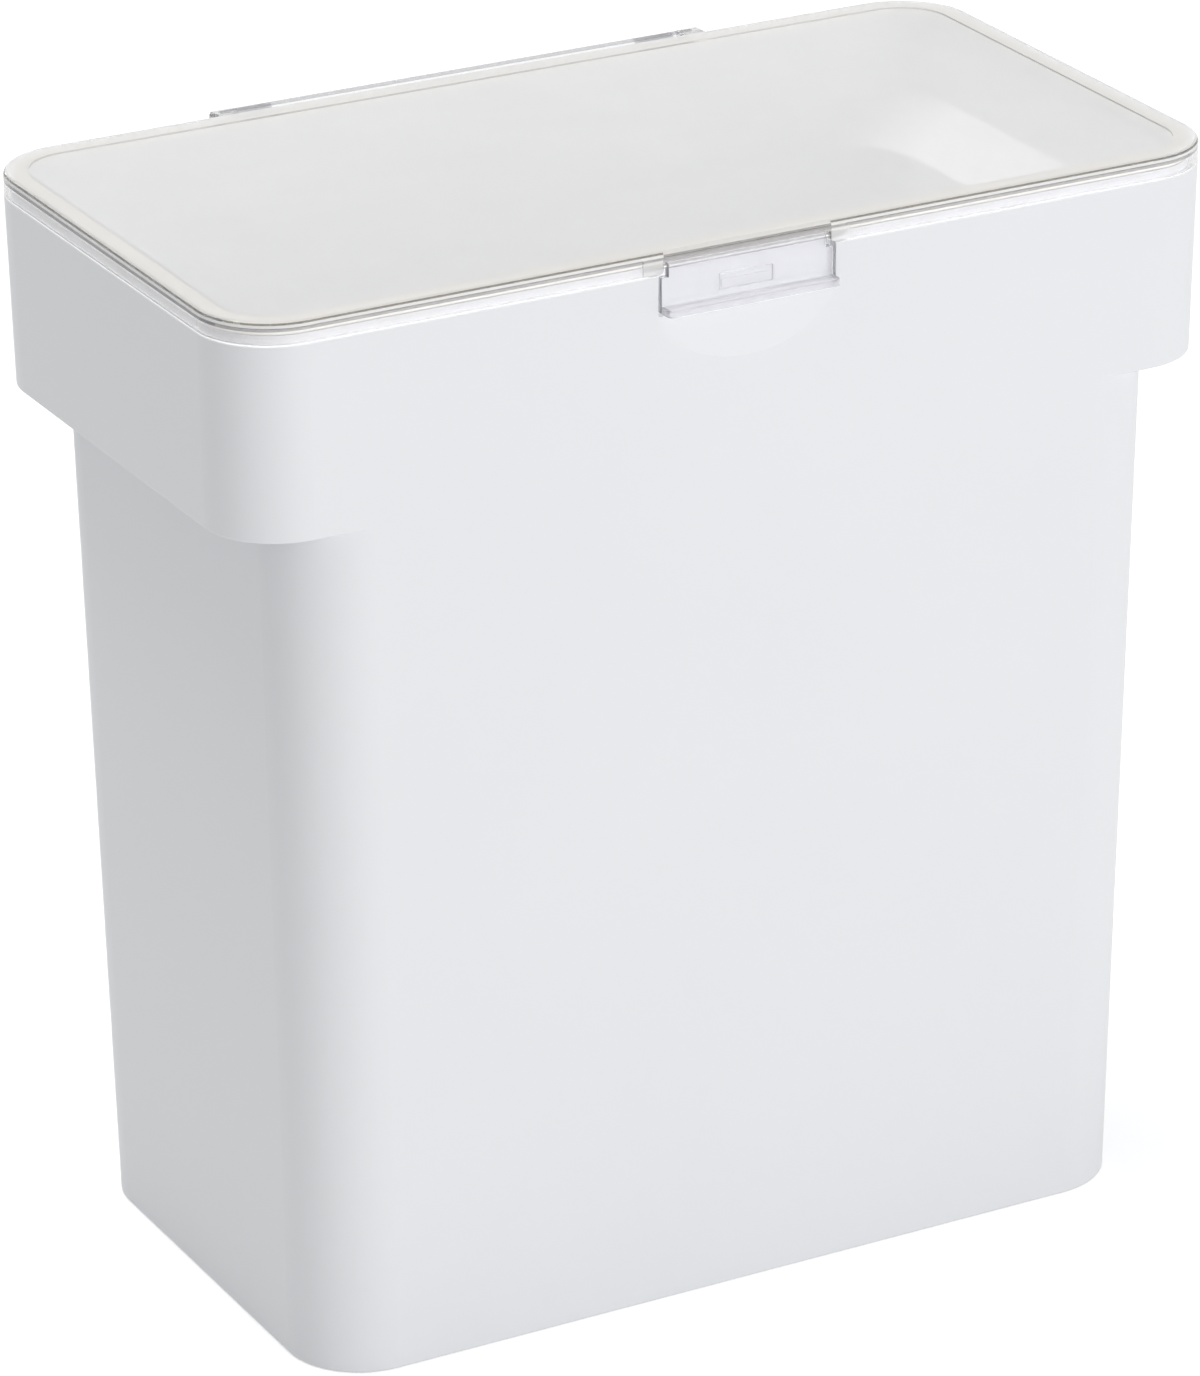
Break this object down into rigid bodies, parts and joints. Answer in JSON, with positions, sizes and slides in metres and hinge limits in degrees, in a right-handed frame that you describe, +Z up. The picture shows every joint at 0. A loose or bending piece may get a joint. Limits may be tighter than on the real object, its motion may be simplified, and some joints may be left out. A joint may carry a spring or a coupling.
{
  "type": "pet food storage container",
  "caption": "Tall white plastic storage bin with a clear hinged lid, a silicone seal, a front snap latch and finger grips under the collar at both ends.",
  "frame": {"origin": "middle of the base, on the surface that the bin stands on", "axes": "+X along the long side, -Y to the front where the latch is, +Y to the back where the hinge is, +Z up"},
  "size_m": [0.28, 0.1622, 0.29],
  "materials": {
    "white_plastic": "satin white polypropylene with a faint grain",
    "clear_plastic": "clear polished styrene",
    "seal_silicone": "soft translucent cream silicone",
    "pin_steel": "plain drawn steel"
  },
  "bodies": {
    "bin_body": {"bin": "white_plastic"},
    "lid_body": {"lid": "clear_plastic", "lid_seal": "seal_silicone", "hinge_rod": "clear_plastic", "latch_pin": "pin_steel"},
    "latch_body": {"latch": "clear_plastic"}
  },
  "joints": [
    {"name": "lid_hinge", "type": "hinge", "parent": "bin_body", "child": "lid_body", "pos_m": [0, 0.08, 0.2871], "axis": [-1, 0, 0], "range_deg": [0, 105]},
    {"name": "latch_hinge", "type": "hinge", "parent": "lid_body", "child": "latch_body", "pos_m": [0, -0.0734, 0.2858], "axis": [-1, 0, 0], "range_deg": [0, 95]}
  ]
}
